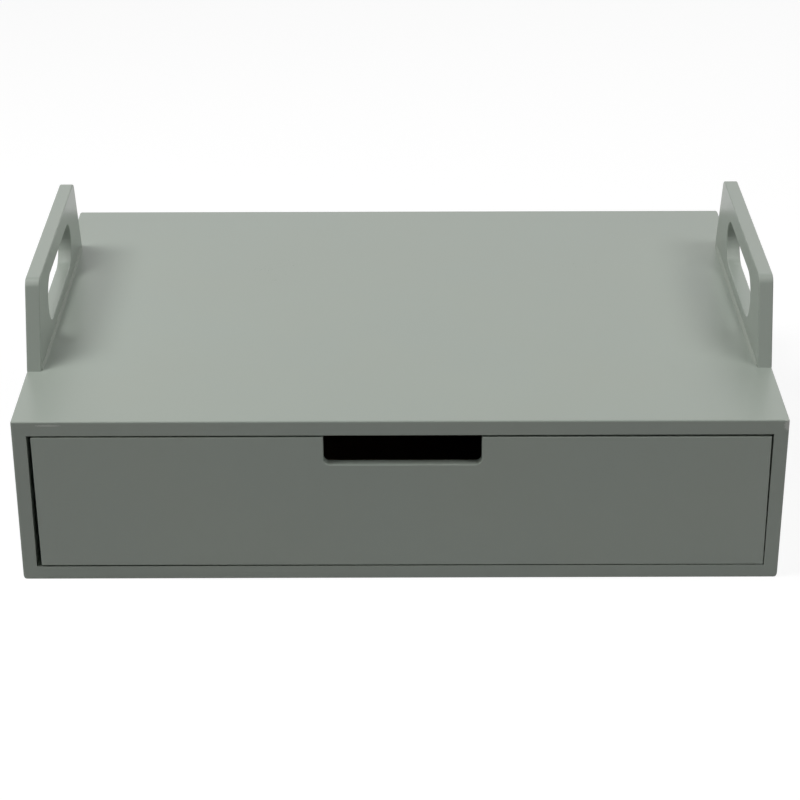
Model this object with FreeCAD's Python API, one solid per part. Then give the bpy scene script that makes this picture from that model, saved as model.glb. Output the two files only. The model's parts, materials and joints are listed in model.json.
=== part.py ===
import FreeCAD, Part
import math
import os

from FreeCAD import Vector

# A low painted box for a laptop, with one drawer in its front and a plate with a hand hole
# standing on each end of its top. Millimetres, +X to the right, +Y to the back and +Z up,
# with the origin in the middle of the underside.

# Box
case_width = 550.0
case_depth = 400.0
case_height = 128.5
board = 10.4
top_board = 11.2

# Rounding of the box's outer edges
front_corner_radius = 1.2
back_corner_radius = 3.5
top_edge_radius = 1.2
underside_end_radius = 4.0
underside_front_radius = 0.8

# Handles, from the foot up and from the hand hole out, set a little behind the middle of the
# box, each with its hand hole a little in front of its own middle
handle_board = 10.7
handle_foot_band = 11.0
hand_hole_height = 36.3
handle_grip_bar = 16.9
hand_hole_length = 130.0
handle_end_band = 56.4
handle_end_run = 22.0
handle_corner_radius = 8.0
handle_arris_radius = 1.0
left_handle_offset = 3.4
right_handle_offset = 6.8
left_hand_hole_offset = -0.8
right_hand_hole_offset = -2.6
handle_bead_leg = 2.0
handle_bead_end_gap = 3.6

# Gaps round the drawer, which stands a little to the right in its opening
drawer_left_gap = 3.2
drawer_right_gap = 0.95
drawer_top_gap = 1.5
drawer_bottom_gap = 0.75
drawer_side_headroom = 3.0
drawer_back_gap = 0.5

# Drawer front, with its finger notch a little to the right of the middle
drawer_front_board = 7.5
drawer_front_arris_radius = 0.8
notch_width = 112.6
notch_depth = 22.1
notch_corner_radius = 4.5
notch_offset = 0.6

# Drawer bottom, a thin sheet in grooves
sheet = 3.0
sheet_rise = 6.0
groove_depth = 4.0
groove_side_clearance = 0.1
groove_end_clearance = 0.5

# Dowels
dowel_radius = 3.0
dowel_edge_depth = 16.0
dowel_skin = 3.4
dowel_chamfer = 0.6
dowel_clearance = 0.1
dowel_end_clearance = 0.4
side_dowel_shares = (0.3, 0.7)
back_end_dowel_shares = (0.25, 0.75)
back_edge_dowel_shares = (0.2, 0.5, 0.8)
drawer_dowel_shares = (0.3, 0.78)

# Handle screws
screw_length = 32.0
screw_radius = 1.6
screw_tip = 4.0
screw_head_radius = 3.3
screw_head_height = 2.2
screw_recess_length = 3.6
screw_recess_width = 0.9
screw_recess_depth = 1.3
screw_clearance = 0.1
screw_place_share = 0.4

# Pins through the drawer bottom into the drawer back
pin_length = 16.0
pin_radius = 0.7
pin_tip = 1.5
pin_head_radius = 1.6
pin_head_height = 0.8
pin_clearance = 0.05
pin_shares = (0.08, 0.36, 0.64, 0.92)

# How far a cutting shape runs past the piece that it cuts
overrun = 5.0

# Places of the box that follow from the sizes
left_end = -case_width / 2
right_end = case_width / 2
front_face = -case_depth / 2
back_face = case_depth / 2
opening_left = left_end + board
opening_right = right_end - board
opening_floor = board
opening_roof = case_height - top_board
back_panel_front = back_face - board
back_panel_middle = back_face - board / 2
handle_height = handle_foot_band + hand_hole_height + handle_grip_bar
handle_foot_length = hand_hole_length + 2 * handle_end_band

# Places of the drawer
drawer_left = opening_left + drawer_left_gap
drawer_right = opening_right - drawer_right_gap
drawer_inner_left = drawer_left + board
drawer_inner_right = drawer_right - board
drawer_front_low = opening_floor + drawer_bottom_gap
drawer_front_high = opening_roof - drawer_top_gap
drawer_front_back = front_face + drawer_front_board
drawer_side_high = opening_roof - drawer_side_headroom
drawer_rear = back_panel_front - drawer_back_gap
drawer_back_middle = drawer_rear - board / 2
sheet_low = opening_floor + sheet_rise
sheet_high = sheet_low + sheet

along_x = Vector(1, 0, 0)
along_y = Vector(0, 1, 0)
along_z = Vector(0, 0, 1)


def block(low, high):
    """A box from its lowest to its highest corner."""
    size = high - low
    return Part.makeBox(size.x, size.y, size.z, low)


def places(low, high, shares):
    """The places that lie the given shares of the way from low to high."""
    return [low + (high - low) * share for share in shares]


def rounded_face(corners):
    """A flat face from corner points in order, each with the radius that rounds it."""
    starts = []
    middles = []
    ends = []
    for index, (corner, radius) in enumerate(corners):
        before = (corners[index - 1][0] - corner).normalize()
        after = (corners[(index + 1) % len(corners)][0] - corner).normalize()
        half_angle = before.getAngle(after) / 2
        reach = radius / math.tan(half_angle)
        inward = (before + after).normalize()
        starts.append(corner + before * reach)
        middles.append(corner + inward * (radius / math.sin(half_angle) - radius))
        ends.append(corner + after * reach)
    edges = []
    for index, (corner, radius) in enumerate(corners):
        if radius > 0:
            edges.append(Part.Arc(starts[index], middles[index], ends[index]).toShape())
        edges.append(Part.makeLine(ends[index], starts[(index + 1) % len(corners)]))
    return Part.Face(Part.Wire(edges))


def drilled(shape, holes):
    """A piece with every hole of a list cut from it."""
    for hole in holes:
        shape = shape.cut(hole)
    return shape


def turned(profile, place):
    """A solid turned about an upright axis through place, from (radius, height) points."""
    points = [place + Vector(radius, 0, height) for radius, height in profile]
    outline = Part.Face(Part.makePolygon(points + points[:1]))
    return outline.revolve(place, along_z, 360)


# Dowels: each stands in one board's edge at its seat and reaches along its direction
# into the face of the next board. The last value of a joint is the thickness of board that
# sets how deep. The box's dowels are of one length, which its thinner boards set

box_dowel_board = min(board, top_board)


def dowel(seat, direction, face_board):
    """A dowel with bevelled ends."""
    start = seat - direction * dowel_edge_depth
    length = dowel_edge_depth + face_board - dowel_skin - dowel_end_clearance
    peg = Part.makeCylinder(dowel_radius, length, start, direction)
    rims = [edge for edge in peg.Edges if edge.isClosed()]
    return peg.makeChamfer(dowel_chamfer, rims)


def dowel_hole(seat, direction, face_board):
    """The hole for a dowel, through the joint of its two boards."""
    start = seat - direction * (dowel_edge_depth + dowel_end_clearance)
    length = dowel_edge_depth + dowel_end_clearance + face_board - dowel_skin
    return Part.makeCylinder(dowel_radius + dowel_clearance, length, start, direction)


def dowels(joints):
    """The dowels of a list of joints."""
    return [dowel(*joint) for joint in joints]


def dowel_holes(joints):
    """The holes of the same list."""
    return [dowel_hole(*joint) for joint in joints]


def side_joints(side_middle, foot, height, direction):
    """The joints of a side panel with the board above or below it, clear of the handle's screws."""
    front_screw, back_screw = (seat.y for seat in handle_screw_seats(foot))
    near_the_ends = [(front_face + front_screw) / 2, (back_screw + back_face) / 2]
    between = places(front_screw, back_screw, side_dowel_shares)
    return [(Vector(side_middle, y, height), direction, box_dowel_board) for y in near_the_ends + between]


def back_joints():
    """The joints of the back panel with the side panels, the top and the bottom."""
    joints = []
    for z in places(opening_floor, opening_roof, back_end_dowel_shares):
        joints.append((Vector(opening_left, back_panel_middle, z), -along_x, box_dowel_board))
        joints.append((Vector(opening_right, back_panel_middle, z), along_x, box_dowel_board))
    for x in places(opening_left, opening_right, back_edge_dowel_shares):
        joints.append((Vector(x, back_panel_middle, opening_roof), along_z, box_dowel_board))
        joints.append((Vector(x, back_panel_middle, opening_floor), -along_z, box_dowel_board))
    return joints


def drawer_front_joints():
    """The joints of the drawer's sides with its front."""
    joints = []
    for x in (drawer_left + board / 2, drawer_right - board / 2):
        for z in places(sheet_high, drawer_side_high, drawer_dowel_shares):
            joints.append((Vector(x, drawer_front_back, z), -along_y, drawer_front_board))
    return joints


def drawer_back_joints():
    """The joints of the drawer's back with its sides."""
    joints = []
    for z in places(sheet_high, drawer_side_high, drawer_dowel_shares):
        joints.append((Vector(drawer_inner_left, drawer_back_middle, z), -along_x, board))
        joints.append((Vector(drawer_inner_right, drawer_back_middle, z), along_x, board))
    return joints


# Screws and pins

def handle_screw_seats(foot):
    """Where the screws of a handle start, under the top and clear of the hand hole."""
    reach = hand_hole_length / 2 + handle_end_band * screw_place_share
    return [Vector(foot.x, foot.y + way * reach, opening_roof) for way in (-1, 1)]


def screw_shape(seat, grow=0.0):
    """A countersunk screw standing point up on its seat, made larger by grow for its hole."""
    return turned([
        (0, 0),
        (screw_head_radius + grow, 0),
        (screw_radius + grow, screw_head_height),
        (screw_radius + grow, screw_length - screw_tip),
        (0, screw_length + grow),
    ], seat)


def screw(seat):
    """The screw with a cross recess in its head."""
    half_length = screw_recess_length / 2
    half_width = screw_recess_width / 2
    shape = screw_shape(seat)
    for x, y in ((half_length, half_width), (half_width, half_length)):
        low = seat + Vector(-x, -y, -overrun)
        shape = shape.cut(block(low, seat + Vector(x, y, screw_recess_depth)))
    return shape


def pin_shape(seat, grow=0.0):
    """A pin pushed up until its head meets the seat, made larger by grow for its hole."""
    return turned([
        (0, -pin_head_height),
        (pin_head_radius, -pin_head_height),
        (pin_head_radius, 0),
        (pin_radius + grow, 0),
        (pin_radius + grow, pin_length - pin_tip),
        (0, pin_length + grow),
    ], seat)


def pin_seats():
    """The middles of the pins' heads, under the drawer bottom."""
    return [Vector(x, drawer_back_middle, sheet_low)
            for x in places(drawer_inner_left, drawer_inner_right, pin_shares)]


# Handles

def hand_hole(x, middle, low):
    """The flat outline of a hand hole with round ends."""
    radius = hand_hole_height / 2
    straight = hand_hole_length / 2 - radius
    high = low + hand_hole_height
    front_low = Vector(x, middle - straight, low)
    back_low = Vector(x, middle + straight, low)
    back_high = Vector(x, middle + straight, high)
    front_high = Vector(x, middle - straight, high)
    back_turn = Vector(x, middle + straight + radius, low + radius)
    front_turn = Vector(x, middle - straight - radius, low + radius)
    return Part.Face(Part.Wire([
        Part.makeLine(front_low, back_low),
        Part.Arc(back_low, back_turn, back_high).toShape(),
        Part.makeLine(back_high, front_high),
        Part.Arc(front_high, front_turn, front_low).toShape(),
    ]))


def handle(foot, hole_offset):
    """A plate that narrows upwards, with rounded top corners, a hand hole and soft edges."""
    x = foot.x - handle_board / 2
    half_foot = handle_foot_length / 2
    half_top = half_foot - handle_end_run
    top = foot.z + handle_height
    outline = rounded_face([
        (Vector(x, foot.y - half_foot, foot.z), 0),
        (Vector(x, foot.y + half_foot, foot.z), 0),
        (Vector(x, foot.y + half_top, top), handle_corner_radius),
        (Vector(x, foot.y - half_top, top), handle_corner_radius),
    ])
    outline = outline.cut(hand_hole(x, foot.y + hole_offset, foot.z + handle_foot_band))
    plate = outline.extrude(along_x * handle_board)
    soft_edges = []
    for edge in plate.Edges:
        lies_on_a_face = edge.BoundBox.XLength < handle_board / 2
        is_above_the_foot = edge.BoundBox.ZMax > foot.z + handle_foot_band / 2
        if lies_on_a_face and is_above_the_foot:
            soft_edges.append(edge)
    plate = plate.makeFillet(handle_arris_radius, soft_edges)
    return drilled(plate, [screw_shape(seat, screw_clearance) for seat in handle_screw_seats(foot)])


def handle_bead(foot, inward):
    """The bead of filler, three-cornered in section, along the inner foot of a handle."""
    half_length = handle_foot_length / 2 - handle_bead_end_gap
    corner = Vector(foot.x + inward * handle_board / 2, foot.y - half_length, foot.z)
    beside = corner + along_x * (inward * handle_bead_leg)
    above = corner + along_z * handle_bead_leg
    section = Part.Face(Part.makePolygon([corner, beside, above, corner]))
    return section.extrude(along_y * (2 * half_length))


# Box

def box_envelope():
    """The closed box with all its outer edges rounded, which trims every outer board."""
    plan = rounded_face([
        (Vector(left_end, front_face, 0), front_corner_radius),
        (Vector(right_end, front_face, 0), front_corner_radius),
        (Vector(right_end, back_face, 0), back_corner_radius),
        (Vector(left_end, back_face, 0), back_corner_radius),
    ])
    front_view = rounded_face([
        (Vector(left_end, front_face, 0), underside_end_radius),
        (Vector(right_end, front_face, 0), underside_end_radius),
        (Vector(right_end, front_face, case_height), top_edge_radius),
        (Vector(left_end, front_face, case_height), top_edge_radius),
    ])
    end_view = rounded_face([
        (Vector(left_end, front_face, 0), underside_front_radius),
        (Vector(left_end, back_face, 0), underside_front_radius),
        (Vector(left_end, back_face, case_height), top_edge_radius),
        (Vector(left_end, front_face, case_height), top_edge_radius),
    ])
    envelope = plan.extrude(along_z * case_height)
    envelope = envelope.common(front_view.extrude(along_y * case_depth))
    return envelope.common(end_view.extrude(along_x * case_width))


def top_panel(envelope, holes):
    """The table top, over the side panels and the back."""
    low = Vector(left_end, front_face, opening_roof)
    high = Vector(right_end, back_face, case_height)
    return drilled(block(low, high).common(envelope), holes)


def bottom_panel(envelope, holes):
    """The bottom, under the side panels and the back."""
    low = Vector(left_end, front_face, 0)
    high = Vector(right_end, back_face, opening_floor)
    return drilled(block(low, high).common(envelope), holes)


def side_panel(outer_x, inner_x, envelope, holes):
    """A side panel between the bottom and the top."""
    low = Vector(min(outer_x, inner_x), front_face, opening_floor)
    high = Vector(max(outer_x, inner_x), back_face, opening_roof)
    return drilled(block(low, high).common(envelope), holes)


def back_panel(holes):
    """The back, set in between the other boards."""
    low = Vector(opening_left, back_panel_front, opening_floor)
    high = Vector(opening_right, back_face, opening_roof)
    return drilled(block(low, high), holes)


# Drawer

def groove_space():
    """The space that the grooves leave for the drawer bottom, open at the back."""
    low = Vector(drawer_inner_left - groove_depth, drawer_front_back - groove_depth,
                 sheet_low - groove_side_clearance)
    high = Vector(drawer_inner_right + groove_depth, drawer_rear + overrun,
                  sheet_high + groove_side_clearance)
    return block(low, high)


def drawer_front(holes):
    """The flush front with its finger notch and soft front edges."""
    notch_middle = (drawer_left + drawer_right) / 2 + notch_offset
    notch_left = notch_middle - notch_width / 2
    notch_right = notch_middle + notch_width / 2
    notch_floor = drawer_front_high - notch_depth
    outline = rounded_face([
        (Vector(drawer_left, front_face, drawer_front_low), 0),
        (Vector(drawer_right, front_face, drawer_front_low), 0),
        (Vector(drawer_right, front_face, drawer_front_high), 0),
        (Vector(notch_right, front_face, drawer_front_high), 0),
        (Vector(notch_right, front_face, notch_floor), notch_corner_radius),
        (Vector(notch_left, front_face, notch_floor), notch_corner_radius),
        (Vector(notch_left, front_face, drawer_front_high), 0),
        (Vector(drawer_left, front_face, drawer_front_high), 0),
    ])
    front = outline.extrude(along_y * drawer_front_board)
    half_way = front_face + drawer_front_board / 2
    front_edges = [edge for edge in front.Edges if edge.BoundBox.YMax < half_way]
    front = front.makeFillet(drawer_front_arris_radius, front_edges)
    return drilled(front, holes)


def drawer_side(outer_x, inner_x, holes):
    """A side of the drawer, which runs on the bottom panel."""
    low = Vector(min(outer_x, inner_x), drawer_front_back, opening_floor)
    high = Vector(max(outer_x, inner_x), drawer_rear, drawer_side_high)
    return drilled(block(low, high), holes)


def drawer_back(holes):
    """The back of the drawer, standing on the drawer bottom."""
    low = Vector(drawer_inner_left, drawer_rear - board, sheet_high)
    high = Vector(drawer_inner_right, drawer_rear, drawer_side_high)
    return drilled(block(low, high), holes)


def drawer_bottom(holes):
    """The thin sheet in the grooves, flush with the drawer's back."""
    reach = groove_depth - groove_end_clearance
    low = Vector(drawer_inner_left - reach, drawer_front_back - reach, sheet_low)
    high = Vector(drawer_inner_right + reach, drawer_rear, sheet_high)
    return drilled(block(low, high), holes)


def all_pieces():
    """Every piece of the table, as a list of solids under its name."""
    envelope = box_envelope()
    left_foot = Vector(left_end + handle_board / 2, left_handle_offset, case_height)
    right_foot = Vector(right_end - handle_board / 2, right_handle_offset, case_height)
    screw_seats = handle_screw_seats(left_foot) + handle_screw_seats(right_foot)
    screw_holes = [screw_shape(seat, screw_clearance) for seat in screw_seats]
    pin_holes = [pin_shape(seat, pin_clearance) for seat in pin_seats()]

    top_joints = []
    bottom_joints = []
    for side_middle, foot in ((left_end + board / 2, left_foot), (right_end - board / 2, right_foot)):
        top_joints += side_joints(side_middle, foot, opening_roof, along_z)
        bottom_joints += side_joints(side_middle, foot, opening_floor, -along_z)
    back_holes = dowel_holes(back_joints())
    side_holes = dowel_holes(top_joints + bottom_joints) + back_holes
    front_holes = dowel_holes(drawer_front_joints()) + [groove_space()]
    rear_holes = dowel_holes(drawer_back_joints())

    return {
        "top_panel": [top_panel(envelope, dowel_holes(top_joints) + back_holes + screw_holes)],
        "bottom_panel": [bottom_panel(envelope, dowel_holes(bottom_joints) + back_holes)],
        "left_side_panel": [side_panel(left_end, opening_left, envelope, side_holes)],
        "right_side_panel": [side_panel(right_end, opening_right, envelope, side_holes)],
        "back_panel": [back_panel(back_holes)],
        "left_handle": [handle(left_foot, left_hand_hole_offset)],
        "right_handle": [handle(right_foot, right_hand_hole_offset)],
        "left_handle_bead": [handle_bead(left_foot, 1)],
        "right_handle_bead": [handle_bead(right_foot, -1)],
        "handle_screws": [screw(seat) for seat in screw_seats],
        "top_panel_dowels": dowels(top_joints),
        "bottom_panel_dowels": dowels(bottom_joints),
        "back_panel_dowels": dowels(back_joints()),
        "drawer_front": [drawer_front(front_holes)],
        "drawer_left_side": [drawer_side(drawer_left, drawer_inner_left, front_holes + rear_holes)],
        "drawer_right_side": [drawer_side(drawer_right, drawer_inner_right, front_holes + rear_holes)],
        "drawer_back": [drawer_back(rear_holes + pin_holes)],
        "drawer_bottom": [drawer_bottom(pin_holes)],
        "drawer_front_dowels": dowels(drawer_front_joints()),
        "drawer_back_dowels": dowels(drawer_back_joints()),
        "drawer_bottom_pins": [pin_shape(seat) for seat in pin_seats()],
    }


os.makedirs("parts", exist_ok=True)
for name, shapes in all_pieces().items():
    solids = [solid for shape in shapes for solid in shape.Solids]
    piece = solids[0] if len(solids) == 1 else Part.makeCompound(solids)
    piece.exportStep(os.path.join("parts", name + ".step"))
    print(name, len(solids), "solids", round(piece.Volume), "mm3, valid", piece.isValid())
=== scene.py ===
import json
import math

import bmesh
import bpy
from mathutils import Matrix, Vector

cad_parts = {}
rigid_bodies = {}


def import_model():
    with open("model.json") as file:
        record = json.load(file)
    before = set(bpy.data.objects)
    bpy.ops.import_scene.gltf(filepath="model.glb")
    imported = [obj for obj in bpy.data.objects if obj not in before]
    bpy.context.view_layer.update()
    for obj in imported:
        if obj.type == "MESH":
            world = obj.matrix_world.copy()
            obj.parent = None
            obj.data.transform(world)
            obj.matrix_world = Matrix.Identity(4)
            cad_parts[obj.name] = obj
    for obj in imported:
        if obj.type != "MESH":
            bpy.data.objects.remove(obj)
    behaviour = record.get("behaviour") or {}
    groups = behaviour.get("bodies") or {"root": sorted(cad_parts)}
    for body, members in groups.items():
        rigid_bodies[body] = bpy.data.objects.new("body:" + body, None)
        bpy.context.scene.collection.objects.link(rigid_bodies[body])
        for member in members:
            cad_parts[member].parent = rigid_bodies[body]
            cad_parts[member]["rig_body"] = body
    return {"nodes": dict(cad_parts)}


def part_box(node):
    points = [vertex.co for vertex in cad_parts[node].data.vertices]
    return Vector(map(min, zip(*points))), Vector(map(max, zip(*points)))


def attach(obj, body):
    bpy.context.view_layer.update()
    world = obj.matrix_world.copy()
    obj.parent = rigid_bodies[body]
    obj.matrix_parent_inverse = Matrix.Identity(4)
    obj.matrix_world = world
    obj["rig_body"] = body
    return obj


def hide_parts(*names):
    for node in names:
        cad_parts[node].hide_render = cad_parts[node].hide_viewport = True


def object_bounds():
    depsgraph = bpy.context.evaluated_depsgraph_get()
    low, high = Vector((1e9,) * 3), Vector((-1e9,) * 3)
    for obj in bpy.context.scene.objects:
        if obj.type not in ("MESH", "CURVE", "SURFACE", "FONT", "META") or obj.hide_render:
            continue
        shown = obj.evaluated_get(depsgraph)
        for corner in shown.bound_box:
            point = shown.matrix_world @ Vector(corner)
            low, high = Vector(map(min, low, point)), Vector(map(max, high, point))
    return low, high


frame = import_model()
cad_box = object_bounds()

# A low painted box for a laptop, with one drawer and two plates with hand holes. Metres, in the
# frame of the solids: +X to the right, +Y to the back, +Z up, the origin under the middle.

# What the frame gives
table_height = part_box("top_panel")[1].z

# Rounding of the boards' edges
front_corner_radius = 0.0012
back_corner_radius = 0.0035
top_edge_radius = 0.0012
underside_end_radius = 0.004
underside_front_radius = 0.0008
back_panel_arris = 0.0003
handle_arris = 0.001
drawer_front_arris = 0.0008
drawer_board_arris = 0.0007
sheet_arris = 0.0002
steps_in_a_rounding = 5

# Meshes
merge_distance = 0.0000001  # points of a piece closer than this are one
solid_merge_distance = 0.000001  # points of the frame's solids closer than this are one
sharp_angle = math.radians(40)  # edges that turn further than this stay sharp

# Handles, from the foot up
handle_foot_band = 0.011
hand_hole_height = 0.0363
hand_hole_length = 0.13
hand_hole_end_flat = 0.00002  # a hair of straight edge between the two turns of a hole's end
handle_end_run = 0.022
handle_corner_radius = 0.008
hand_hole_offsets = {"left": -0.0008, "right": -0.0026}

# Beads of filler along the handles' feet
bead_stations = 90
bead_points_across = 6
bead_fullness_share = 0.93
bead_ripple_share = 0.03
bead_waves = ((1.0, 140.0, 0.0), (0.6, 331.0, 1.0), (0.4, 733.0, 2.0))  # a share, a pace and a start
bead_end_share = 0.25
bead_end_growth = 20.0
bead_belly_share = 0.35

# Drawer front
drawer_front_drop = 0.0006  # its right end hangs a little lower
drawer_front_lean = 0.0008  # its ends lean a little to the left
drawer_front_arris_share = 0.98  # keeps its front arris within the corners of its outline
notch_width = 0.1126
notch_depth = 0.0221
notch_corner_radius = 0.0045
notch_offset = 0.0006

# Groove for the drawer bottom
groove_depth = 0.004
groove_side_clearance = 0.0001

# Dowels
dowel_flutes = 16
dowel_points_per_flute = 4
dowel_rings = 16
dowel_flute_depth = 0.00025
dowel_chamfer = 0.0008

# Handle screws
screw_sides = 20
screw_rings = 120
screw_head_height = 0.0022
screw_shank_radius = 0.0012
screw_thread_depth = 0.00045
screw_thread_pitch = 0.0016
screw_tip = 0.004
screw_tip_share = 0.02
screw_recess_length = 0.0036
screw_recess_width = 0.0009
screw_recess_depth = 0.0013

# Pins of the drawer bottom
pin_rings = 84
pin_head_height = 0.0008
pin_shank_radius = 0.0007
pin_tip = 0.0015

# Colours, as linear red, green, blue and cover
sage_warm = (0.356, 0.394, 0.342, 1.0)
sage_cool = (0.349, 0.396, 0.354, 1.0)
# Pale of worn paint, also painted light on the handles' roundings
worn_and_lit_paint = (0.56, 0.58, 0.54, 1.0)
# The bead's colours sit below the sage paint's: painted shade in the corner at the handles' feet
bead_shaded_dark = (0.312, 0.346, 0.301, 1.0)
bead_shaded_pale = (0.338, 0.375, 0.326, 1.0)
fibre_dark = (0.135, 0.078, 0.042, 1.0)
fibre_pale = (0.255, 0.155, 0.088, 1.0)
fibre_cloud = (0.17, 0.10, 0.06, 1.0)
fibre_fleck = (0.09, 0.05, 0.03, 1.0)
beech_pale = (0.62, 0.43, 0.27, 1.0)
beech_dark = (0.48, 0.31, 0.18, 1.0)
beech_fleck = (0.30, 0.18, 0.10, 1.0)
zinc_cool = (0.60, 0.61, 0.63, 1.0)
zinc_warm = (0.68, 0.67, 0.62, 1.0)
backdrop_white = (1.0, 1.0, 1.0, 1.0)
floor_seen = (0.22, 0.22, 0.22, 1.0)
floor_unseen = (0.45, 0.45, 0.45, 1.0)

# Paint, its wear with painted light on the handles' roundings, and a chip and a scuff at the ends of the
# top's front edge
# Darkening of the cut edges: partly thirsty fibreboard, partly painted shade
cut_edge_thirst_and_shade_share = 0.07
rubbed_share = 0.12
handle_rub_and_light_share = 0.12
handle_rub_and_light_from = 0.002  # above the top
handle_rub_and_light_fully_from = 0.008  # above the top
chip_drop = 0.004
chip_place = (cad_box[1][0], cad_box[0][1], table_height - chip_drop)
chip_reach = (0.005, 0.0045, 0.006)
scuff_drop = 0.003
scuff_from_end = 0.026
scuff_place = (cad_box[0][0] + scuff_from_end, cad_box[0][1], table_height - scuff_drop)
scuff_reach = (0.012, 0.002, 0.0009)
scuff_share = 0.75

# Press screen under the drawer bottom, as a pace of waves along each axis
press_screen_paces = (2400.0, 2400.0, 0.0)

# Camera, as it stood for the photograph
camera_place = (-0.0029, -1.6132, 0.8474)
camera_pitch = 0.4612
camera_yaw = 0.0020
camera_roll = -0.0019
camera_lens = 101.24
camera_sensor = 36.0

# Studio
floor_reach = 12.0
floor_glow = 0.86
backdrop_glow = 1.0
even_light = 0.02
lamp_distance = 2.2


# Small helpers for node trees

def empty_tree(owner):
    """The node tree of a material or a world, with nothing in it."""
    owner.use_nodes = True
    owner.node_tree.nodes.clear()
    return owner.node_tree


def add_node(tree, kind, inputs=None, **settings):
    """Adds a node. Its settings are its properties, its inputs are values or sockets to link."""
    node = tree.nodes.new(kind)
    for name, value in settings.items():
        setattr(node, name, value)
    for name, value in (inputs or {}).items():
        if isinstance(value, bpy.types.NodeSocket):
            tree.links.new(value, node.inputs[name])
        else:
            node.inputs[name].default_value = value
    return node


def math_node(tree, operation, first, second=0.0, third=0.0):
    """The result of a Math node on values or sockets."""
    inputs = {0: first, 1: second, 2: third}
    return add_node(tree, "ShaderNodeMath", inputs, operation=operation).outputs[0]


def weighted_sum(tree, start, *parts):
    """A start value with a share of each other value added, from (value, share) pairs."""
    for value, share in parts:
        start = math_node(tree, "MULTIPLY_ADD", value, share, start)
    return start


def largest(tree, first, *others):
    """The largest of several values."""
    for other in others:
        first = math_node(tree, "MAXIMUM", first, other)
    return first


def vector_node(tree, operation, first, second=(0.0, 0.0, 0.0)):
    """The vector result of a Vector Math node."""
    node = add_node(tree, "ShaderNodeVectorMath", {0: first, 1: second}, operation=operation)
    return node.outputs["Vector"]


def scaled(tree, vector, factor):
    """A vector or colour times a factor."""
    node = add_node(tree, "ShaderNodeVectorMath", {0: vector, "Scale": factor}, operation="SCALE")
    return node.outputs["Vector"]


def axes_of(tree, vector):
    """The X, Y and Z of a vector."""
    return add_node(tree, "ShaderNodeSeparateXYZ", {0: vector}).outputs


def map_range(tree, value, low, high):
    """A value carried smoothly from 0 at low to 1 at high, and held past them."""
    inputs = {"Value": value, "From Min": low, "From Max": high}
    return add_node(tree, "ShaderNodeMapRange", inputs, interpolation_type="SMOOTHSTEP").outputs[0]


def mix_colour(tree, share, first, second):
    """A mix of two colours."""
    node = add_node(tree, "ShaderNodeMix", {0: share, 6: first, 7: second}, data_type="RGBA")
    return node.outputs[2]


def noise(tree, place, per_metre, detail=2.0, roughness=0.5, stretch=None):
    """Noise from 0 to 1, in features per metre, stretched along an axis where a vector is given."""
    if stretch:
        place = vector_node(tree, "MULTIPLY", place, stretch)
    inputs = {"Vector": place, "Scale": per_metre, "Detail": detail, "Roughness": roughness}
    return add_node(tree, "ShaderNodeTexNoise", inputs).outputs[0]


def object_place(tree):
    """The place on the object in metres."""
    return add_node(tree, "ShaderNodeTexCoord").outputs["Object"]


def surface_facing(tree):
    """The X, Y and Z of the way that the surface faces."""
    return axes_of(tree, add_node(tree, "ShaderNodeTexCoord").outputs["Normal"])


def bump(tree, height, distance, strength, under=None):
    """A surface normal bent by a height, over another bump where one is given."""
    inputs = {"Height": height, "Distance": distance, "Strength": strength}
    if under:
        inputs["Normal"] = under
    return add_node(tree, "ShaderNodeBump", inputs).outputs[0]


def new_material(name):
    """A material with only its surface shader."""
    material = bpy.data.materials.new(name)
    tree = empty_tree(material)
    shader = add_node(tree, "ShaderNodeBsdfPrincipled")
    add_node(tree, "ShaderNodeOutputMaterial", {"Surface": shader.outputs[0]})
    return material, tree, shader


def finish_surface(tree, shader, colour, roughness, normal):
    """Gives a shader its colour, its roughness and its normal."""
    for name, socket in (("Base Color", colour), ("Roughness", roughness), ("Normal", normal)):
        tree.links.new(socket, shader.inputs[name])


# Finishes

def turned_between_axes(tree):
    """1 on roundings, which face between the axes, and 0 on the flat faces."""
    sizes = [math_node(tree, "ABSOLUTE", axis) for axis in surface_facing(tree)]
    return map_range(tree, largest(tree, *sizes), low=0.94, high=0.8)


def worn_spot(tree, place, middle, reach):
    """A ragged spot at a place, with its reach along each axis."""
    away = vector_node(tree, "DIVIDE", vector_node(tree, "SUBTRACT", place, middle), reach)
    distance = add_node(tree, "ShaderNodeVectorMath", {0: away}, operation="LENGTH").outputs["Value"]
    crumbs = noise(tree, place, per_metre=900.0, detail=3.0, roughness=0.6)
    return map_range(tree, weighted_sum(tree, distance, (crumbs, 0.9)), low=1.35, high=1.0)


def worn_and_lit_share(tree, place, on_rounding):
    """How far the paint is paled at a place: rubbed where it is rounded, more on the handles' roundings as
    wear and painted light, and chipped or scuffed.
    """
    clouds = noise(tree, place, per_metre=60.0, detail=4.0, roughness=0.6)
    patches = map_range(tree, clouds, low=0.45, high=0.75)
    above_top = math_node(tree, "SUBTRACT", axes_of(tree, place)[2], table_height)
    # Paler roundings above the top: handling wear and painted light on the handles' edges
    handle_rub_and_light = map_range(tree, above_top, low=handle_rub_and_light_from, high=handle_rub_and_light_fully_from)
    rub = weighted_sum(tree, 0.0, (patches, rubbed_share), (handle_rub_and_light, handle_rub_and_light_share))
    rubbed = math_node(tree, "MULTIPLY", on_rounding, rub)
    chip = worn_spot(tree, place, chip_place, chip_reach)
    scuff = math_node(tree, "MULTIPLY", worn_spot(tree, place, scuff_place, scuff_reach), scuff_share)
    return largest(tree, rubbed, chip, scuff)


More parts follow.
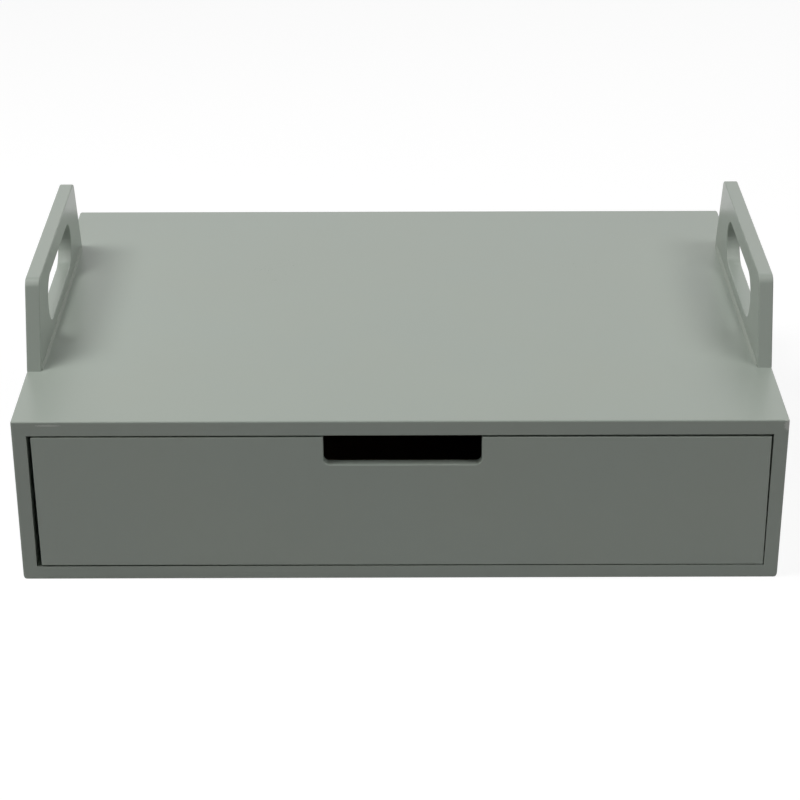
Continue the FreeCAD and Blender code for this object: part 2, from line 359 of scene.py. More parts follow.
def sage_paint():
    """Satin grey-green paint rolled on fibreboard, a little darker on its cut edges: partly their thirsty
    fibreboard, partly painted shade.
    """
    material, tree, shader = new_material("sage_paint")
    place = object_place(tree)
    elsewhere = vector_node(tree, "ADD", place, (3.0, 1.0, 2.0))
    clouds = noise(tree, place, per_metre=8.0, detail=3.0)
    drift = noise(tree, elsewhere, per_metre=13.0)
    grain = noise(tree, place, per_metre=1500.0)
    stipple = noise(tree, place, per_metre=620.0, detail=3.0, roughness=0.55)
    cut_edge = add_node(tree, "ShaderNodeAttribute", attribute_name="cut_edge").outputs["Fac"]
    on_rounding = turned_between_axes(tree)

    # The cut edges are darkened: partly thirsty fibreboard, partly painted shade
    shade = weighted_sum(tree, 0.96, (clouds, 0.05), (grain, 0.03), (cut_edge, -cut_edge_thirst_and_shade_share))
    colour = scaled(tree, mix_colour(tree, drift, sage_warm, sage_cool), shade)
    colour = mix_colour(tree, worn_and_lit_share(tree, place, on_rounding), colour, worn_and_lit_paint)
    roughness = weighted_sum(tree, 0.22, (clouds, 0.1), (stipple, 0.08), (on_rounding, 0.35))
    rolled = bump(tree, stipple, distance=0.0003, strength=0.12)
    uneven = bump(tree, clouds, distance=0.004, strength=0.04, under=rolled)
    finish_surface(tree, shader, colour, roughness, uneven)
    return material


def bead_paint():
    """The sage paint over filler that was drawn along the joint with a fingertip, coloured darker as
    painted shade in the corner.
    """
    material, tree, shader = new_material("bead_paint")
    place = object_place(tree)
    drawn = noise(tree, place, per_metre=420.0, detail=3.0, roughness=0.6, stretch=(1.0, 0.12, 1.0))
    lumps = noise(tree, place, per_metre=130.0)
    colour = mix_colour(tree, drawn, bead_shaded_dark, bead_shaded_pale)
    roughness = weighted_sum(tree, 0.55, (lumps, 0.15))
    streaks = bump(tree, drawn, distance=0.0003, strength=0.25)
    lumpy = bump(tree, lumps, distance=0.0006, strength=0.3, under=streaks)
    finish_surface(tree, shader, colour, roughness, lumpy)
    return material


def hardboard():
    """Brown pressed fibre, smooth above and marked by the press screen below."""
    material, tree, shader = new_material("hardboard")
    place = object_place(tree)
    fibres = noise(tree, place, per_metre=260.0, detail=6.0, roughness=0.7, stretch=(1.0, 0.55, 1.0))
    specks = noise(tree, place, per_metre=900.0, stretch=(0.5, 1.0, 1.0))
    flecks = map_range(tree, specks, low=0.62, high=0.75)
    clouds = noise(tree, place, per_metre=14.0, detail=3.0)
    brown = mix_colour(tree, fibres, fibre_dark, fibre_pale)
    brown = mix_colour(tree, math_node(tree, "MULTIPLY", clouds, 0.45), brown, fibre_cloud)
    brown = mix_colour(tree, math_node(tree, "MULTIPLY", flecks, 0.5), brown, fibre_fleck)
    roughness = weighted_sum(tree, 0.36, (fibres, 0.2))

    waves = vector_node(tree, "SINE", vector_node(tree, "MULTIPLY", place, press_screen_paces))
    wires = axes_of(tree, waves)
    screen = math_node(tree, "MULTIPLY", wires[0], wires[1])
    looks_down = map_range(tree, surface_facing(tree)[2], low=-0.5, high=-0.9)
    screen = math_node(tree, "MULTIPLY", screen, looks_down)
    pressed = bump(tree, screen, distance=0.0002, strength=0.5)
    fibrous = bump(tree, fibres, distance=0.0002, strength=0.12, under=pressed)
    finish_surface(tree, shader, brown, roughness, fibrous)
    return material


def beech():
    """Pale beech with short dark flecks along the dowel."""
    material, tree, shader = new_material("beech")
    place = add_node(tree, "ShaderNodeAttribute", attribute_name="grain_place").outputs["Vector"]
    grain = noise(tree, place, per_metre=1100.0, detail=3.0, roughness=0.6, stretch=(1.0, 1.0, 0.05))
    specks = noise(tree, place, per_metre=2600.0, stretch=(1.0, 1.0, 0.18))
    flecks = map_range(tree, specks, low=0.6, high=0.72)
    wood = mix_colour(tree, grain, beech_pale, beech_dark)
    wood = mix_colour(tree, math_node(tree, "MULTIPLY", flecks, 0.6), wood, beech_fleck)
    roughness = weighted_sum(tree, 0.55, (grain, 0.2))
    fibrous = bump(tree, grain, distance=0.0001, strength=0.3)
    finish_surface(tree, shader, wood, roughness, fibrous)
    return material


def zinc():
    """Bright zinc plate, slightly clouded."""
    material, tree, shader = new_material("zinc")
    place = object_place(tree)
    clouds = noise(tree, place, per_metre=700.0, detail=3.0)
    lines = noise(tree, place, per_metre=2400.0, stretch=(1.0, 1.0, 0.2))
    colour = mix_colour(tree, clouds, zinc_cool, zinc_warm)
    roughness = weighted_sum(tree, 0.22, (clouds, 0.18))
    lined = bump(tree, lines, distance=0.00005, strength=0.2)
    finish_surface(tree, shader, colour, roughness, lined)
    shader.inputs["Metallic"].default_value = 1.0
    return material


# Making meshes and pieces

def new_object(name, data):
    """An object in the scene that holds the given data."""
    made = bpy.data.objects.new(name, data)
    bpy.context.scene.collection.objects.link(made)
    return made


def evaluated_mesh(source, kind, settings, inputs=None):
    """The plain mesh that a mesh becomes under one modifier with its settings and node inputs."""
    carrier = new_object("carrier", source)
    modifier = carrier.modifiers.new(kind.lower(), kind)
    for name, value in settings.items():
        setattr(modifier, name, value)
    for identifier, value in (inputs or {}).items():
        modifier[identifier] = value
    bpy.context.view_layer.update()
    graph = bpy.context.evaluated_depsgraph_get()
    mesh = bpy.data.meshes.new_from_object(carrier.evaluated_get(graph))
    bpy.data.objects.remove(carrier)
    return mesh


def plain_mesh(shape):
    """A mesh from an editing mesh, which is freed."""
    mesh = bpy.data.meshes.new("shape")
    shape.to_mesh(mesh)
    shape.free()
    return mesh


def shade_roundings(mesh):
    """Shades a mesh smooth, apart from its sharp edges."""
    mesh.shade_smooth()
    mesh.set_sharp_from_angle(angle=sharp_angle)


def smooth_mesh(shape):
    """A mesh from an editing mesh, with its roundings shaded smooth and its flat faces kept flat."""
    bmesh.ops.remove_doubles(shape, verts=shape.verts, dist=merge_distance)
    bmesh.ops.recalc_face_normals(shape, faces=shape.faces)
    mesh = plain_mesh(shape)
    shade_roundings(mesh)
    return evaluated_mesh(mesh, "WEIGHTED_NORMAL", {"keep_sharp": True, "weight": 100})


def add_piece(name, mesh, node, material):
    """A finished piece in place of a node of the frame, on that node's body."""
    piece = new_object(name, mesh)
    mesh.materials.clear()
    mesh.materials.append(material)
    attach(piece, frame["nodes"][node]["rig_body"])
    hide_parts(node)


def add_board(name, shape, node, material):
    """A board from an editing mesh, which marks its cut edges: all of it but its two broad faces."""
    mesh = smooth_mesh(shape)
    low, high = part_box(node)
    span = high - low
    thin_axis = min(range(3), key=lambda axis: span[axis])
    marks = mesh.attributes.new("cut_edge", "FLOAT", "FACE")
    for mark, face in zip(marks.data, mesh.polygons):
        mark.value = 1 - face.normal[thin_axis] ** 2
    add_piece(name, mesh, node, material)


def edge_radii(**radii):
    """Radii under the pairs of sides that they round, from names such as front_top."""
    return {frozenset(name.split("_")): radius for name, radius in radii.items()}


def box_shape(low, high, radii):
    """A board from its corners, with a radius for each edge named by the two sides that it joins."""
    sides = (("left", "right"), ("front", "back"), ("bottom", "top"))
    widest = max(radii.values())
    shape = bmesh.new()
    weights = shape.edges.layers.float.new("bevel_weight_edge")
    bmesh.ops.create_cube(shape, size=1.0)
    for edge in shape.edges:
        start, end = (vertex.co for vertex in edge.verts)
        shared_axes = [axis for axis in range(3) if start[axis] * end[axis] > 0]
        joined = frozenset(sides[axis][start[axis] > 0] for axis in shared_axes)
        edge[weights] = radii.get(joined, 0.0) / widest
    for vertex in shape.verts:
        for axis in range(3):
            vertex.co[axis] = high[axis] if vertex.co[axis] > 0 else low[axis]
    rounding = {"width": widest, "segments": steps_in_a_rounding, "limit_method": "WEIGHT"}
    rounded = evaluated_mesh(plain_mesh(shape), "BEVEL", rounding)
    shape = bmesh.new()
    shape.from_mesh(rounded)
    return shape


def rounded_outline(corners):
    """The points of a flat outline from (corner, radius) pairs, with each corner rounded."""
    steps = 2 * steps_in_a_rounding
    points = []
    for index, (corner, radius) in enumerate(corners):
        corner = Vector(corner)
        if radius == 0:
            points.append(corner)
            continue
        before = (Vector(corners[index - 1][0]) - corner).normalized()
        after = (Vector(corners[(index + 1) % len(corners)][0]) - corner).normalized()
        half_angle = before.angle(after) / 2
        reach = radius / math.tan(half_angle)
        centre = corner + (before + after).normalized() * (radius / math.sin(half_angle))
        first = (corner + before * reach - centre).normalized()
        last = (corner + after * reach - centre).normalized()
        for step in range(steps + 1):
            points.append(centre + first.slerp(last, step / steps) * radius)
    return points


def inset_outline(points, inset):
    """The outline moved to its left by inset, with its corners kept square to both sides."""
    moved = []
    for index, point in enumerate(points):
        into = (point - points[index - 1]).normalized()
        out_of = (points[(index + 1) % len(points)] - point).normalized()
        left_of_into = Vector((-into.y, into.x))
        left = (left_of_into + Vector((-out_of.y, out_of.x))).normalized()
        moved.append(point + left * (inset / left.dot(left_of_into)))
    return moved


def plate_shape(outlines, place, low, high, low_arris, high_arris):
    """A plate with rounded arrises from flat outlines, the first its edge and the others its holes.

    Each outline has the material on its left. place turns a flat point and a height between
    low and high into a point of the object.
    """
    turns = [math.radians(90 * step / steps_in_a_rounding) for step in range(steps_in_a_rounding + 1)]
    levels = []
    for turn in turns:
        levels.append((low_arris * (1 - math.sin(turn)), low + low_arris * (1 - math.cos(turn))))
    for turn in turns:
        levels.append((high_arris * (1 - math.cos(turn)), high - high_arris * (1 - math.sin(turn))))
    shape = bmesh.new()
    rims = ([], [])
    for outline in outlines:
        rings = []
        for inset, height in levels:
            rings.append([shape.verts.new(place(point, height)) for point in inset_outline(outline, inset)])
        for ring, following in zip(rings, rings[1:]):
            for index in range(len(ring)):
                shape.faces.new((ring[index - 1], ring[index], following[index], following[index - 1]))
        for rim, ring in zip(rims, (rings[0], rings[-1])):
            rim.extend(shape.edges.get((ring[index - 1], ring[index])) for index in range(len(ring)))
    for rim in rims:
        bmesh.ops.triangle_fill(shape, edges=rim, use_beauty=True)
    return shape


def facing_x(point, height):
    """A place from a flat point in Y and Z and a height in X."""
    return Vector((height, point.x, point.y))


def facing_y(point, height):
    """A place from a flat point in X and Z and a height in Y."""
    return Vector((point.x, height, point.y))


# Box

def make_case(paint):
    """The five painted boards of the box, whose joints are filled and painted over."""
    upright = {"left_front": front_corner_radius, "right_front": front_corner_radius,
               "left_back": back_corner_radius, "right_back": back_corner_radius}
    top = edge_radii(front_top=top_edge_radius, back_top=top_edge_radius,
                     left_top=top_edge_radius, right_top=top_edge_radius, **upright)
    bottom = edge_radii(front_bottom=underside_front_radius, back_bottom=underside_front_radius,
                        left_bottom=underside_end_radius, right_bottom=underside_end_radius, **upright)
    left = edge_radii(left_front=front_corner_radius, left_back=back_corner_radius)
    right = edge_radii(right_front=front_corner_radius, right_back=back_corner_radius)
    back = edge_radii(left_back=back_panel_arris, right_back=back_panel_arris,
                      back_top=back_panel_arris, back_bottom=back_panel_arris)
    boards = (("table_top", "top_panel", top), ("case_bottom", "bottom_panel", bottom),
              ("case_left_side", "left_side_panel", left), ("case_right_side", "right_side_panel", right),
              ("case_back", "back_panel", back))
    for name, node, radii in boards:
        add_board(name, box_shape(*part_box(node), radii), node, paint)


# Handles

def handle_shape(low, high, hole_offset):
    """A plate that narrows upwards from its foot, with a long hand hole off its middle.

    It is made a little too long at its foot and cut off there, so that its foot has no arris.
    """
    slope = handle_end_run / (high.z - low.z)
    sunk = 2 * handle_arris
    foot = low.z - sunk
    edge = rounded_outline([
        ((low.y - sunk * slope, foot), 0),
        ((high.y + sunk * slope, foot), 0),
        ((high.y - handle_end_run, high.z), handle_corner_radius),
        ((low.y + handle_end_run, high.z), handle_corner_radius),
    ])
    middle = (low.y + high.y) / 2 + hole_offset
    hole_front = middle - hand_hole_length / 2
    hole_back = middle + hand_hole_length / 2
    hole_low = low.z + handle_foot_band
    hole_high = hole_low + hand_hole_height
    round_end = (hand_hole_height - hand_hole_end_flat) / 2
    hole = rounded_outline([
        ((hole_front, hole_low), round_end),
        ((hole_front, hole_high), round_end),
        ((hole_back, hole_high), round_end),
        ((hole_back, hole_low), round_end),
    ])
    shape = plate_shape([edge, hole], facing_x, low.x, high.x, handle_arris, handle_arris)
    geometry = shape.verts[:] + shape.edges[:] + shape.faces[:]
    cut = bmesh.ops.bisect_plane(shape, geom=geometry, plane_co=low, plane_no=(0, 0, -1), clear_outer=True)
    rim = [item for item in cut["geom_cut"] if isinstance(item, bmesh.types.BMEdge)]
    bmesh.ops.triangle_fill(shape, edges=rim, use_beauty=True)
    return shape


def make_handles(paint):
    """Both handles on the ends of the top."""
    for side, hole_offset in hand_hole_offsets.items():
        node = side + "_handle"
        add_board(side + "_carrying_plate", handle_shape(*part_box(node), hole_offset), node, paint)


def bead_shape(low, high, wall_x):
    """A bead of filler in the corner of a wall and the top, uneven as a hand leaves it."""
    leg_x = high.x - low.x
    leg_z = high.z - low.z
    inward = 1 if wall_x < (low.x + high.x) / 2 else -1
    shape = bmesh.new()
    rows = []
    for station in range(bead_stations + 1):
        along = station / bead_stations
        y = low.y + (high.y - low.y) * along
        ripple = sum(share * math.sin(y * pace + start) for share, pace, start in bead_waves)
        fullness = bead_fullness_share + bead_ripple_share * ripple
        fullness *= min(1.0, bead_end_share + bead_end_growth * min(along, 1 - along))
        row = [shape.verts.new((wall_x, y, low.z))]
        for step in range(bead_points_across + 1):
            across = step / bead_points_across
            swell = fullness * (1 + bead_belly_share * across * (1 - across))
            x = wall_x + inward * leg_x * min(1.0, (1 - across) * swell)
            z = low.z + leg_z * min(1.0, across * swell)
            row.append(shape.verts.new((x, y, z)))
        rows.append(row)
    for row, following in zip(rows, rows[1:]):
        for index in range(len(row)):
            shape.faces.new((row[index - 1], row[index], following[index], following[index - 1]))
    shape.faces.new(rows[0])
    shape.faces.new(rows[-1])
    return shape


def make_beads(paint):
    """The beads along the inner feet of the handles."""
    for side in ("left", "right"):
        node = side + "_handle_bead"
        low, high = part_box(node)
        wall_x = low.x if side == "left" else high.x
        add_piece(side + "_foot_bead", smooth_mesh(bead_shape(low, high, wall_x)), node, paint)


# Drawer

def drawer_front_shape(low, high):
    """The flush front with its finger notch."""
    centre = (low + high) / 2
    notch_left = centre.x + notch_offset - notch_width / 2
    notch_right = centre.x + notch_offset + notch_width / 2
    notch_floor = high.z - notch_depth
    edge = rounded_outline([
        ((low.x, low.z), drawer_front_arris),
        ((high.x, low.z), drawer_front_arris),
        ((high.x, high.z), drawer_front_arris),
        ((notch_right, high.z), drawer_front_arris),
        ((notch_right, notch_floor), notch_corner_radius),
        ((notch_left, notch_floor), notch_corner_radius),
        ((notch_left, high.z), drawer_front_arris),
        ((low.x, high.z), drawer_front_arris),
    ])
    for point in edge:
        across = (point.x - centre.x) / (high.x - low.x)
        up = (point.y - centre.z) / (high.z - low.z)
        point.x -= drawer_front_lean * up * abs(2 * across)
        point.y -= drawer_front_drop * across
    front_arris = drawer_front_arris * drawer_front_arris_share
    return plate_shape([edge], facing_y, low.y, high.y, front_arris, sheet_arris)


def drawer_side_shape(low, high, inner_x, groove_low, groove_high):
    """A side of the drawer, with soft top arrises and the groove for the bottom in its inner face."""
    outer_x = low.x + high.x - inner_x
    outward = 1 if outer_x > inner_x else -1
    groove_x = inner_x + outward * groove_depth
    corners = [
        ((inner_x, low.z), drawer_board_arris),
        ((outer_x, low.z), drawer_board_arris),
        ((outer_x, high.z), drawer_board_arris),
        ((inner_x, high.z), drawer_board_arris),
        ((inner_x, groove_high), 0),
        ((groove_x, groove_high), 0),
        ((groove_x, groove_low), 0),
        ((inner_x, groove_low), 0),
    ]
    if outward < 0:
        corners.reverse()
    return plate_shape([rounded_outline(corners)], facing_y, low.y, high.y, sheet_arris, sheet_arris)


def make_drawer(paint, sheet):
    """The painted boards of the drawer and its bare bottom."""
    add_board("drawer_face", drawer_front_shape(*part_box("drawer_front")), "drawer_front", paint)
    sheet_low, sheet_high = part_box("drawer_bottom")
    groove = (sheet_low.z - groove_side_clearance, sheet_high.z + groove_side_clearance)
    back_low, back_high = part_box("drawer_back")
    for side, inner_x in (("left", back_low.x), ("right", back_high.x)):
        node = "drawer_" + side + "_side"
        shape = drawer_side_shape(*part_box(node), inner_x, *groove)
        add_board("drawer_" + side + "_board", shape, node, paint)
    soft_top = edge_radii(front_top=drawer_board_arris, back_top=drawer_board_arris)
    add_board("drawer_rear_board", box_shape(back_low, back_high, soft_top), "drawer_back", paint)
    rims = edge_radii(front_top=sheet_arris, front_bottom=sheet_arris, back_top=sheet_arris,
                      back_bottom=sheet_arris, left_top=sheet_arris, left_bottom=sheet_arris,
                      right_top=sheet_arris, right_bottom=sheet_arris)
    add_piece("drawer_sheet", smooth_mesh(box_shape(sheet_low, sheet_high, rims)), "drawer_bottom", sheet)


# Dowels, screws and pins

def solid_boxes(node):
    """The lowest and highest corner of each separate solid in a node of the frame."""
    shape = bmesh.new()
    shape.from_mesh(frame["nodes"][node].data)
    bmesh.ops.remove_doubles(shape, verts=shape.verts, dist=solid_merge_distance)
    boxes = []
    reached = set()
    for first in shape.verts:
        if first in reached:
            continue
        reached.add(first)
        solid = [first]
        # The list grows as it is walked, until it holds the whole solid
        for vertex in solid:
            neighbours = {edge.other_vert(vertex) for edge in vertex.link_edges} - reached
            reached |= neighbours
            solid.extend(neighbours)
        low = Vector(min(vertex.co[axis] for vertex in solid) for axis in range(3))
        high = Vector(max(vertex.co[axis] for vertex in solid) for axis in range(3))
        boxes.append((low, high))
    shape.free()
    return boxes


def seat_points(seats):
    """A mesh of loose points, one at each seat, with the direction of what stands there."""
    mesh = bpy.data.meshes.new("seats")
    mesh.from_pydata([place for place, direction in seats], [], [])
    directions = mesh.attributes.new("direction", "FLOAT_VECTOR", "POINT")
    for item, (place, direction) in zip(directions.data, seats):
        item.vector = direction
    return mesh


def new_tree(name, sizes, counts):
    """A geometry tree with a seat mesh, named sizes and counts and a material as inputs."""
    tree = bpy.data.node_groups.new(name, "GeometryNodeTree")
    tree.is_modifier = True
    kinds = {"Seats": "NodeSocketGeometry"}
    kinds.update((label, "NodeSocketFloat") for label in sizes)
    kinds.update((label, "NodeSocketInt") for label in counts)
    kinds["Material"] = "NodeSocketMaterial"
    for label, kind in kinds.items():
        tree.interface.new_socket(label, in_out="INPUT", socket_type=kind)
    tree.interface.new_socket("Geometry", in_out="OUTPUT", socket_type="NodeSocketGeometry")
    return tree, tree.nodes.new("NodeGroupInput").outputs


def away_from_axis(tree, place, distance):
    """A vector of the given length that points from the upright axis towards a place."""
    flat = vector_node(tree, "MULTIPLY", place, (1.0, 1.0, 0.0))
    return scaled(tree, vector_node(tree, "NORMALIZE", flat), distance)


def stand_on_seats(tree, given, peg):
    """Ends a tree: the peg on every seat, along its direction, as one plain mesh."""
    name = {"Name": "direction"}
    along = add_node(tree, "GeometryNodeInputNamedAttribute", name, data_type="FLOAT_VECTOR")
    turn = add_node(tree, "FunctionNodeAlignRotationToVector", {"Vector": along.outputs[0]}, axis="Z")
    points = add_node(tree, "GeometryNodeMeshToPoints", {"Mesh": given["Seats"]})
    inputs = {"Points": points.outputs[0], "Instance": peg, "Rotation": turn.outputs[0]}
    pegs = add_node(tree, "GeometryNodeInstanceOnPoints", inputs)
    plain = add_node(tree, "GeometryNodeRealizeInstances", {"Geometry": pegs.outputs[0]})
    inputs = {"Geometry": plain.outputs[0], "Material": given["Material"]}
    finished = add_node(tree, "GeometryNodeSetMaterial", inputs)
    output = tree.nodes.new("NodeGroupOutput")
    tree.links.new(finished.outputs[0], output.inputs[0])


def dowel_tree():
    """Fluted dowels with bevelled ends, each with its middle on a seat."""
    tree, given = new_tree("fluted_dowels", ("Radius", "Length", "Flute Depth", "Chamfer"), ("Flutes",))
    around = math_node(tree, "MULTIPLY", given["Flutes"], dowel_points_per_flute)
    rod = add_node(tree, "GeometryNodeMeshCylinder", {
        "Vertices": around, "Side Segments": dowel_rings,
        "Radius": given["Radius"], "Depth": given["Length"]})
    place = add_node(tree, "GeometryNodeInputPosition").outputs[0]
    x, y, z = axes_of(tree, place)

    angle = math_node(tree, "ARCTAN2", y, x)
    wave = math_node(tree, "COSINE", math_node(tree, "MULTIPLY", angle, given["Flutes"]))
    flute = math_node(tree, "MULTIPLY", weighted_sum(tree, 0.5, (wave, 0.5)), given["Flute Depth"])
    half_length = math_node(tree, "MULTIPLY", given["Length"], 0.5)
    from_end = math_node(tree, "SUBTRACT", half_length, math_node(tree, "ABSOLUTE", z))
    bevel = largest(tree, math_node(tree, "SUBTRACT", given["Chamfer"], from_end), 0.0)
    inward = math_node(tree, "MULTIPLY", math_node(tree, "ADD", flute, bevel), -1.0)

    inputs = {"Geometry": rod.outputs["Mesh"], "Offset": away_from_axis(tree, place, inward)}
    fluted = add_node(tree, "GeometryNodeSetPosition", inputs)
    inputs = {"Geometry": fluted.outputs[0], "Name": "grain_place", "Value": place}
    grained = add_node(tree, "GeometryNodeStoreNamedAttribute", inputs,
                       data_type="FLOAT_VECTOR", domain="POINT")
    stand_on_seats(tree, given, grained.outputs[0])
    return tree


def turned_radius(tree, given, place, height):
    """How far a turned screw reaches from its axis at a height: its head, then its threaded shank."""
    axes = axes_of(tree, place)
    under_head = math_node(tree, "LESS_THAN", given["Head Height"], height)
    in_head = math_node(tree, "SUBTRACT", 1.0, under_head)

    sink = math_node(tree, "DIVIDE", height, given["Head Height"])
    sink = math_node(tree, "MULTIPLY", sink, given["Head Taper"])
    narrowing = math_node(tree, "SUBTRACT", given["Head Radius"], given["Shank Radius"])
    head = math_node(tree, "SUBTRACT", given["Head Radius"], math_node(tree, "MULTIPLY", narrowing, sink))

    to_point = math_node(tree, "SUBTRACT", given["Length"], height)
    to_point = math_node(tree, "MINIMUM", math_node(tree, "DIVIDE", to_point, given["Tip"]), 1.0)
    to_point = largest(tree, to_point, screw_tip_share)
    turn = math_node(tree, "DIVIDE", math_node(tree, "ARCTAN2", axes[1], axes[0]), 2 * math.pi)
    turns = math_node(tree, "SUBTRACT", math_node(tree, "DIVIDE", height, given["Pitch"]), turn)
    ridge = math_node(tree, "MULTIPLY", math_node(tree, "PINGPONG", turns, 0.5), 2.0)
    threaded = weighted_sum(tree, given["Shank Radius"], (ridge, given["Thread Depth"]))
    shank = math_node(tree, "MULTIPLY", threaded, to_point)
    return weighted_sum(tree, 0.0, (head, in_head), (shank, under_head))


def cross_recess(tree, given, peg):
    """A peg with a cross cut into its foot, where the cross has a depth."""
    depth = math_node(tree, "MULTIPLY", given["Recess Depth"], 2.0)
    driven = add_node(tree, "GeometryNodeMeshBoolean", {"Mesh 1": peg}, operation="DIFFERENCE")
    for first, second in (("Recess Length", "Recess Width"), ("Recess Width", "Recess Length")):
        size = add_node(tree, "ShaderNodeCombineXYZ", {0: given[first], 1: given[second], 2: depth})
        bar = add_node(tree, "GeometryNodeMeshCube", {"Size": size.outputs[0]})
        tree.links.new(bar.outputs["Mesh"], driven.inputs["Mesh 2"])
    has_recess = math_node(tree, "GREATER_THAN", given["Recess Depth"], 0.0)
    inputs = {"Switch": has_recess, "False": peg, "True": driven.outputs[0]}
    return add_node(tree, "GeometryNodeSwitch", inputs, input_type="GEOMETRY").outputs[0]


def screw_tree():
    """Turned screws or pins, head first on their seats, with a thread where it has a depth."""
    sizes = ("Length", "Head Radius", "Head Height", "Head Taper", "Shank Radius", "Thread Depth",
             "Pitch", "Tip", "Recess Length", "Recess Width", "Recess Depth")
    tree, given = new_tree("turned_screws", sizes, ("Rings",))
    rod = add_node(tree, "GeometryNodeMeshCylinder", {
        "Vertices": screw_sides, "Side Segments": given["Rings"],
        "Radius": 1.0, "Depth": given["Length"]})
    place = add_node(tree, "GeometryNodeInputPosition").outputs[0]
    height = weighted_sum(tree, axes_of(tree, place)[2], (given["Length"], 0.5))
    across = away_from_axis(tree, place, turned_radius(tree, given, place, height))
    upwards = add_node(tree, "ShaderNodeCombineXYZ", {2: height}).outputs[0]
    inputs = {"Geometry": rod.outputs["Mesh"], "Position": vector_node(tree, "ADD", across, upwards)}
    turned = add_node(tree, "GeometryNodeSetPosition", inputs)
    stand_on_seats(tree, given, cross_recess(tree, given, turned.outputs[0]))
    return tree


def grown_pegs(tree, sizes, seats, material):
    """The plain mesh that a tree grows on seats with the given sizes."""
    values = dict(sizes, Material=material)
    sockets = [socket for socket in tree.interface.items_tree if socket.name in values]
    inputs = {socket.identifier: values[socket.name] for socket in sockets}
    mesh = evaluated_mesh(seat_points(seats), "NODES", {"node_group": tree}, inputs)
    shade_roundings(mesh)
    return mesh


def dowel_sizes(low, high):
    """The sizes of a dowel from its box."""
    spans = sorted(high - low)
    return {"Radius": spans[0] / 2, "Length": spans[2], "Flutes": dowel_flutes,
            "Flute Depth": dowel_flute_depth, "Chamfer": dowel_chamfer}


def dowel_seat(low, high):
    """The middle of a dowel's box, and the axis along which it is longest."""
    span = high - low
    long_axis = max(range(3), key=lambda axis: span[axis])
    return (low + high) / 2, Vector(1.0 if axis == long_axis else 0.0 for axis in range(3))


def make_dowels(wood):
    """All the dowels, one piece for each node of them."""
    tree = dowel_tree()
    for name in ("top_panel", "bottom_panel", "back_panel", "drawer_front", "drawer_back"):
        node = name + "_dowels"
        boxes = solid_boxes(node)
        seats = [dowel_seat(low, high) for low, high in boxes]
        add_piece(name + "_pegs", grown_pegs(tree, dowel_sizes(*boxes[0]), seats, wood), node, wood)


def make_upright_pegs(name, node, tree, sizes, metal):
    """The screws or pins of a node, which stand on their heads."""
    boxes = solid_boxes(node)
    span = boxes[0][1] - boxes[0][0]
    sizes = dict(sizes, **{"Length": span.z, "Head Radius": span.x / 2})
    upwards = Vector((0, 0, 1))
    seats = []
    for low, high in boxes:
        middle = (low + high) / 2
        seats.append((Vector((middle.x, middle.y, low.z)), upwards))
    add_piece(name, grown_pegs(tree, sizes, seats, metal), node, metal)


def make_screws_and_pins(metal):
    """The handle screws and the pins of the drawer bottom."""
    screw = {"Rings": screw_rings, "Head Height": screw_head_height, "Head Taper": 1.0,
             "Shank Radius": screw_shank_radius, "Thread Depth": screw_thread_depth,
             "Pitch": screw_thread_pitch, "Tip": screw_tip, "Recess Length": screw_recess_length,
             "Recess Width": screw_recess_width, "Recess Depth": screw_recess_depth}
    pin = dict(screw, **{"Rings": pin_rings, "Head Height": pin_head_height, "Head Taper": 0.0,
                         "Shank Radius": pin_shank_radius, "Thread Depth": 0.0, "Tip": pin_tip,
                         "Recess Depth": 0.0})
    tree = screw_tree()
    make_upright_pegs("handle_fixings", "handle_screws", tree, screw, metal)
    make_upright_pegs("sheet_pins", "drawer_bottom_pins", tree, pin, metal)


# Stage, light and camera

def seen_directly(tree):
    """1 for what the camera sees, also in gloss and through glass, and 0 for light on its way."""
    path = add_node(tree, "ShaderNodeLightPath").outputs
    return largest(tree, path["Is Camera Ray"], path["Is Glossy Ray"], path["Is Transmission Ray"])


def seen_or_unseen(tree, seen, unseen):
    """One shader for what the camera sees, and another for the light that the surface gives."""
    inputs = {0: seen_directly(tree), 1: unseen.outputs[0], 2: seen.outputs[0]}
    return add_node(tree, "ShaderNodeMixShader", inputs).outputs[0]


def make_floor():
    """A plain floor that looks white and keeps a faint shadow, and gives back little light."""
    material = bpy.data.materials.new("studio_floor")
    tree = empty_tree(material)
    glow = add_node(tree, "ShaderNodeEmission", {"Strength": floor_glow})
    shaded = add_node(tree, "ShaderNodeBsdfDiffuse", {"Color": floor_seen})
    white = add_node(tree, "ShaderNodeAddShader", {0: glow.outputs[0], 1: shaded.outputs[0]})
    dull = add_node(tree, "ShaderNodeBsdfDiffuse", {"Color": floor_unseen})
    add_node(tree, "ShaderNodeOutputMaterial", {"Surface": seen_or_unseen(tree, white, dull)})

    mesh = bpy.data.meshes.new("floor")
    ways = ((-1, -1), (1, -1), (1, 1), (-1, 1))
    mesh.from_pydata([(x * floor_reach, y * floor_reach, 0.0) for x, y in ways], [], [(0, 1, 2, 3)])
    mesh.materials.append(material)
    floor = new_object("floor", mesh)


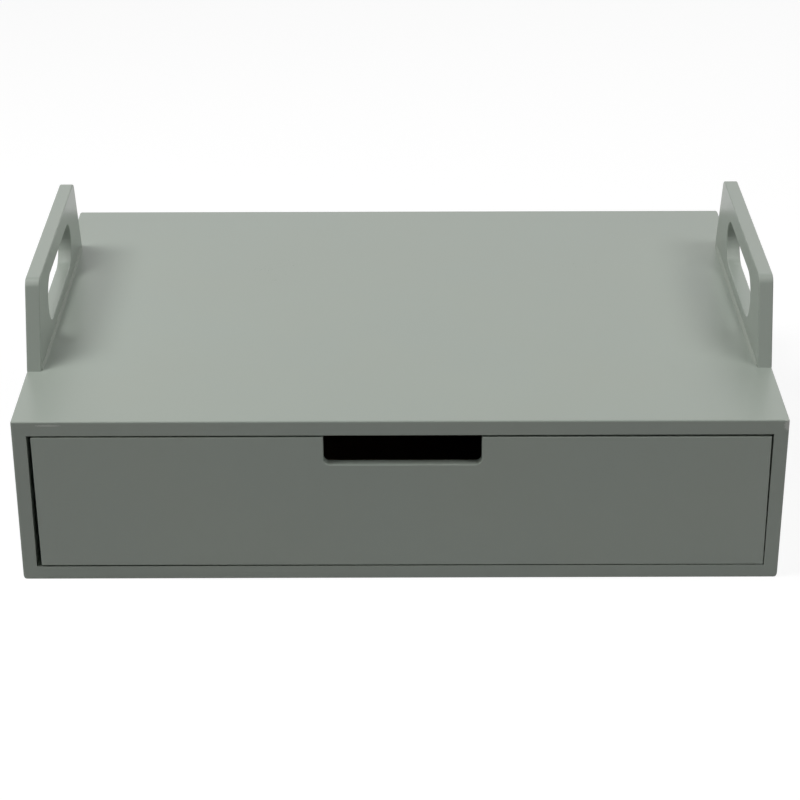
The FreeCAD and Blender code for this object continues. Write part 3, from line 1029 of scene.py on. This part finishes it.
def make_world():
    """A white backdrop all round, and a little even light."""
    world = bpy.data.worlds.new("studio")
    bpy.context.scene.world = world
    tree = empty_tree(world)
    fill = add_node(tree, "ShaderNodeBackground", {"Color": backdrop_white, "Strength": even_light})
    white = add_node(tree, "ShaderNodeBackground", {"Color": backdrop_white, "Strength": backdrop_glow})
    add_node(tree, "ShaderNodeOutputWorld", {"Surface": seen_or_unseen(tree, white, fill)})


def softbox(name, bearing, elevation, width, height, power):
    """A soft lamp that faces the table top, its bearing counted from the front to the right."""
    light = bpy.data.lights.new(name, "AREA")
    light.shape = "RECTANGLE"
    light.size = width
    light.size_y = height
    light.energy = power
    lamp = new_object(name, light)
    rise = math.radians(elevation)
    level = Matrix.Rotation(math.radians(bearing), 3, "Z") @ Vector((0.0, -1.0, 0.0))
    away = level * math.cos(rise) + Vector((0.0, 0.0, math.sin(rise)))
    lamp.location = Vector((0.0, 0.0, table_height)) + away * lamp_distance
    lamp.rotation_euler = away.to_track_quat("Z", "Y").to_euler()


def make_lights():
    """High soft boxes at both ends, the left one stronger, a weak one behind and one low in front."""
    softbox("left_softbox", bearing=285.0, elevation=59.5, width=0.9, height=1.2, power=31.0)
    softbox("right_softbox", bearing=65.0, elevation=54.0, width=0.9, height=0.9, power=13.2)
    softbox("rear_softbox", bearing=140.0, elevation=40.0, width=0.9, height=0.9, power=4.4)
    softbox("front_softbox", bearing=20.0, elevation=18.0, width=0.9, height=0.9, power=1.2)


def make_camera():
    """The camera of the photograph."""
    camera = new_object("camera", bpy.data.cameras.new("camera"))
    camera.data.sensor_width = camera_sensor
    camera.data.lens = camera_lens
    turn = Matrix.Rotation(-camera_yaw, 4, "Z")
    tilt = Matrix.Rotation(math.pi / 2 - camera_pitch, 4, "X")
    roll = Matrix.Rotation(camera_roll, 4, "Z")
    camera.matrix_world = Matrix.Translation(camera_place) @ turn @ tilt @ roll
    bpy.context.scene.camera = camera


# The whole scene

bpy.context.scene.view_settings.view_transform = "Standard"
painted = sage_paint()
make_case(painted)
make_handles(painted)
make_beads(bead_paint())
make_drawer(painted, hardboard())
make_dowels(beech())
make_screws_and_pins(zinc())
make_floor()
make_world()
make_lights()
make_camera()
